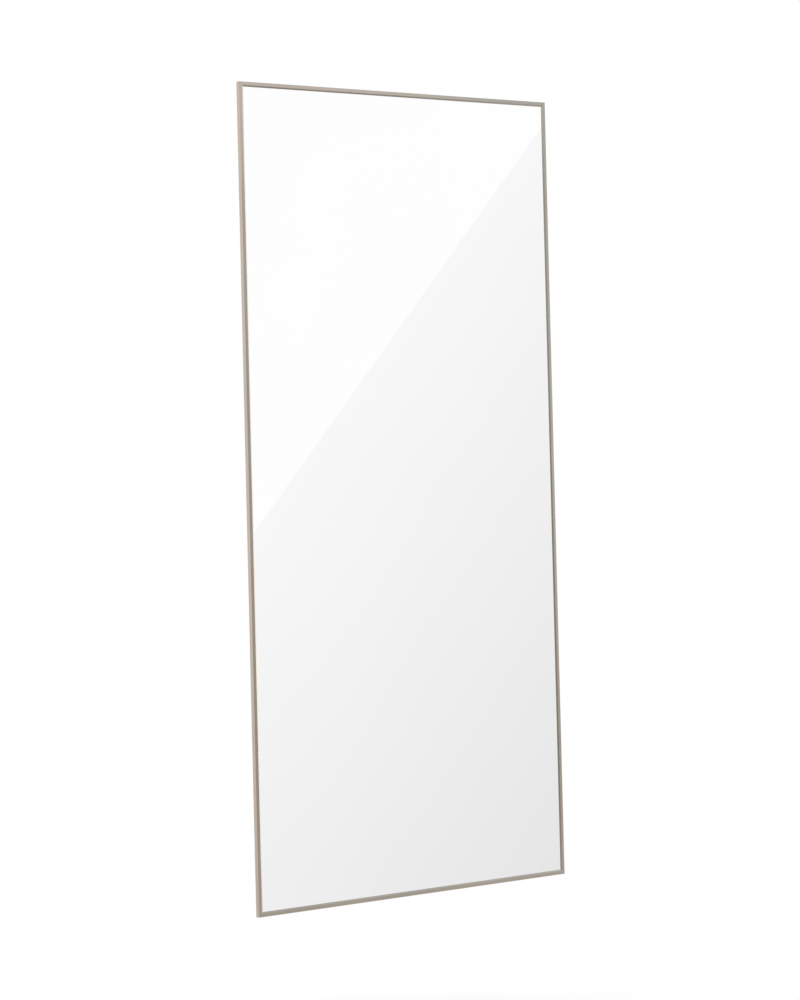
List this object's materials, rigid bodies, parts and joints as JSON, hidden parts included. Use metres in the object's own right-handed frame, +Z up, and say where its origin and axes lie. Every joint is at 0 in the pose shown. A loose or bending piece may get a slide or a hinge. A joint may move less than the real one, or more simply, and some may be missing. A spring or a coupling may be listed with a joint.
{
  "type": "wall mirror",
  "caption": "Tall rectangular wall mirror in a slim mitred satin metal frame, with a bonded back panel and ring hangers behind.",
  "frame": {"origin": "the middle of the wall plane that the bumpers touch, at half the mirror's width and height", "axes": "+X to the right of someone facing the mirror, +Y back to the wall, +Z up; the front face looks along -Y"},
  "size_m": [0.9, 0.0168, 1.8],
  "materials": {
    "frame_metal": "satin champagne anodised extrusion, fine brushing along its length",
    "key_metal": "plain die cast, matt",
    "zinc_steel": "bright zinc plated",
    "mirror": "clear float glass silvered on its back",
    "safety_film": "grey self-adhesive safety film",
    "black_foam": "closed cell foam tape, matt",
    "white_plastic": "plain moulded",
    "white_foam": "double sided foam tape",
    "back_board": "brown hardboard with a fine fibre pattern",
    "bumper_rubber": "matt grey-black rubber"
  },
  "bodies": {
    "mirror": {"frame_rail_top": "frame_metal", "frame_rail_bottom": "frame_metal", "frame_stile_left": "frame_metal", "frame_stile_right": "frame_metal", "corner_key_top_left": "key_metal", "corner_key_top_right": "key_metal", "corner_key_bottom_left": "key_metal", "corner_key_bottom_right": "key_metal", "corner_key_screws": "zinc_steel", "mirror_glass": "mirror", "safety_film": "safety_film", "lip_tape_top": "black_foam", "lip_tape_bottom": "black_foam", "lip_tape_left": "black_foam", "lip_tape_right": "black_foam", "setting_block_left": "white_plastic", "setting_block_right": "white_plastic", "bond_strip_1": "white_foam", "bond_strip_2": "white_foam", "bond_strip_3": "white_foam", "bond_strip_4": "white_foam", "bond_strip_5": "white_foam", "back_panel": "back_board", "rear_gasket_top": "black_foam", "rear_gasket_bottom": "black_foam", "rear_gasket_left": "black_foam", "rear_gasket_right": "black_foam", "hanger_plate_left": "zinc_steel", "hanger_plate_right": "zinc_steel", "hanger_screws": "zinc_steel", "bumper_top_left": "bumper_rubber", "bumper_top_right": "bumper_rubber", "bumper_bottom_left": "bumper_rubber", "bumper_bottom_right": "bumper_rubber"},
    "ring_left": {"hanger_ring_left": "zinc_steel"},
    "ring_right": {"hanger_ring_right": "zinc_steel"}
  },
  "joints": [
    {"name": "ring_left_swing", "type": "hinge", "parent": "mirror", "child": "ring_left", "pos_m": [-0.4317, -0.0033, 0.68], "axis": [1, 0, 0], "range_deg": [0, 180]},
    {"name": "ring_right_swing", "type": "hinge", "parent": "mirror", "child": "ring_right", "pos_m": [0.4317, -0.0033, 0.68], "axis": [1, 0, 0], "range_deg": [0, 180]}
  ]
}
